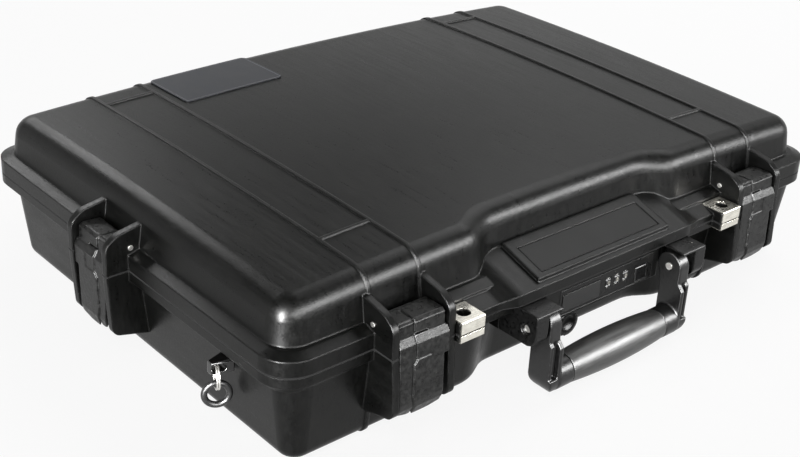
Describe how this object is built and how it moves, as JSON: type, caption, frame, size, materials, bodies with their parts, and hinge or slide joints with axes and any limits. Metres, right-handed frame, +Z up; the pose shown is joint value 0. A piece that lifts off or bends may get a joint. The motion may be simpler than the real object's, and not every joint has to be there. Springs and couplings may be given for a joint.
{
  "type": "laptop hard case",
  "caption": "Hard laptop case with a domed hinged lid, lever latches, folding handle, dial lock, padlock lugs, pressure valve and strap rings.",
  "frame": {"origin": "centre of the overall box at floor level, with the case closed and lying on its base", "axes": "+X to the right along the front, +Y from the handle side to the hinges, +Z up through the lid"},
  "size_m": [0.5598, 0.4358, 0.1228],
  "materials": {
    "shell": "pebbled moulded polymer",
    "panel": "fine matte",
    "label": "satin printed plate, left bare",
    "seal": "soft rubber",
    "foam": "open cell foam",
    "steel": "turned and polished",
    "plate": "bent stainless sheet",
    "hardware": "glass-filled polymer",
    "latch": "glass-filled polymer",
    "grip": "soft overmoulded rubber",
    "button": "satin",
    "dial": "gloss with plain numerals",
    "post": "gloss moulding",
    "ring": "moulded ring"
  },
  "bodies": {
    "base": {"base_shell": "shell", "base_foam": "foam", "hinge_pins": "steel", "handle_bracket_left": "hardware", "handle_bracket_right": "hardware", "handle_pins": "steel", "padlock_plate_base_left": "plate", "padlock_plate_base_right": "plate", "lock_housing": "hardware", "lock_blank_plate": "panel", "lock_spindle": "steel", "valve_body": "hardware", "valve_knob": "hardware", "strap_post_left": "post", "strap_post_right": "post"},
    "lid": {"lid_shell": "shell", "lid_name_panel": "panel", "lid_label_plate": "label", "lid_seal": "seal", "lid_foam": "foam", "latch_pins": "steel", "padlock_plate_lid_left": "plate", "padlock_plate_lid_right": "plate"},
    "handle": {"handle_frame": "hardware", "handle_grip": "grip"},
    "lock_button": {"lock_button": "button"},
    "lever_front_left": {"latch_lever_front_left": "latch"},
    "claw_front_left": {"latch_claw_front_left": "latch"},
    "lever_front_right": {"latch_lever_front_right": "latch"},
    "claw_front_right": {"latch_claw_front_right": "latch"},
    "lever_side_left": {"latch_lever_side_left": "latch"},
    "claw_side_left": {"latch_claw_side_left": "latch"},
    "lever_side_right": {"latch_lever_side_right": "latch"},
    "claw_side_right": {"latch_claw_side_right": "latch"},
    "dial_1": {"lock_dial_1": "dial"},
    "dial_2": {"lock_dial_2": "dial"},
    "dial_3": {"lock_dial_3": "dial"},
    "link_left": {"strap_link_left": "steel"},
    "ring_left": {"strap_ring_left": "ring"},
    "link_right": {"strap_link_right": "steel"},
    "ring_right": {"strap_ring_right": "ring"}
  },
  "joints": [
    {"name": "lid_hinge", "type": "hinge", "parent": "base", "child": "lid", "pos_m": [0, 0.21, 0.0718], "axis": [-1, 0, 0], "range_deg": [0, 100]},
    {"name": "handle_swing", "type": "hinge", "parent": "base", "child": "handle", "pos_m": [0, -0.2, 0.058], "axis": [-1, 0, 0], "range_deg": [0, 90]},
    {"name": "lock_button_press", "type": "slide", "parent": "base", "child": "lock_button", "axis": [0, 1, 0], "range_m": [0, 0.0025], "stiffness_N_per_m": 300},
    {"name": "latch_front_left_open", "type": "hinge", "parent": "lid", "child": "lever_front_left", "pos_m": [-0.1687, -0.174, 0.0884], "axis": [-1, 0, 0], "range_deg": [0, 100]},
    {"name": "claw_front_left_turn", "type": "hinge", "parent": "lever_front_left", "child": "claw_front_left", "pos_m": [-0.1687, -0.185, 0.066], "axis": [-1, 0, 0], "range_deg": [-1, 7]},
    {"name": "latch_front_right_open", "type": "hinge", "parent": "lid", "child": "lever_front_right", "pos_m": [0.1687, -0.174, 0.0884], "axis": [-1, 0, 0], "range_deg": [0, 100]},
    {"name": "claw_front_right_turn", "type": "hinge", "parent": "lever_front_right", "child": "claw_front_right", "pos_m": [0.1687, -0.185, 0.066], "axis": [-1, 0, 0], "range_deg": [-1, 7]},
    {"name": "latch_side_left_open", "type": "hinge", "parent": "lid", "child": "lever_side_left", "pos_m": [-0.2615, 0.017, 0.0884], "axis": [0, 1, 0], "range_deg": [0, 100]},
    {"name": "claw_side_left_turn", "type": "hinge", "parent": "lever_side_left", "child": "claw_side_left", "pos_m": [-0.2693, 0.017, 0.066], "axis": [0, 1, 0], "range_deg": [-1, 7]},
    {"name": "latch_side_right_open", "type": "hinge", "parent": "lid", "child": "lever_side_right", "pos_m": [0.2615, 0.017, 0.0884], "axis": [0, -1, 0], "range_deg": [0, 100]},
    {"name": "claw_side_right_turn", "type": "hinge", "parent": "lever_side_right", "child": "claw_side_right", "pos_m": [0.2693, 0.017, 0.066], "axis": [0, -1, 0], "range_deg": [-1, 7]},
    {"name": "dial_1_turn", "type": "hinge", "parent": "base", "child": "dial_1", "pos_m": [0.0055, -0.183, 0.058], "axis": [1, 0, 0], "continuous": true},
    {"name": "dial_2_turn", "type": "hinge", "parent": "base", "child": "dial_2", "pos_m": [0.0144, -0.183, 0.058], "axis": [1, 0, 0], "continuous": true},
    {"name": "dial_3_turn", "type": "hinge", "parent": "base", "child": "dial_3", "pos_m": [0.0233, -0.183, 0.058], "axis": [1, 0, 0], "continuous": true},
    {"name": "strap_link_left_swing", "type": "hinge", "parent": "base", "child": "link_left", "pos_m": [-0.26347, -0.1095, 0.05335], "axis": [-0.4226, -0.9063, 0], "range_deg": [-60, 2]},
    {"name": "strap_ring_left_swing", "type": "hinge", "parent": "link_left", "child": "ring_left", "pos_m": [-0.26347, -0.1095, 0.03915], "axis": [-0.9063, 0.4226, 0], "range_deg": [-20, 20]},
    {"name": "strap_link_right_swing", "type": "hinge", "parent": "base", "child": "link_right", "pos_m": [0.26347, -0.1095, 0.05335], "axis": [0.4226, -0.9063, 0], "range_deg": [-2, 60]},
    {"name": "strap_ring_right_swing", "type": "hinge", "parent": "link_right", "child": "ring_right", "pos_m": [0.26347, -0.1095, 0.03915], "axis": [0.9063, 0.4226, 0], "range_deg": [-20, 20]}
  ]
}
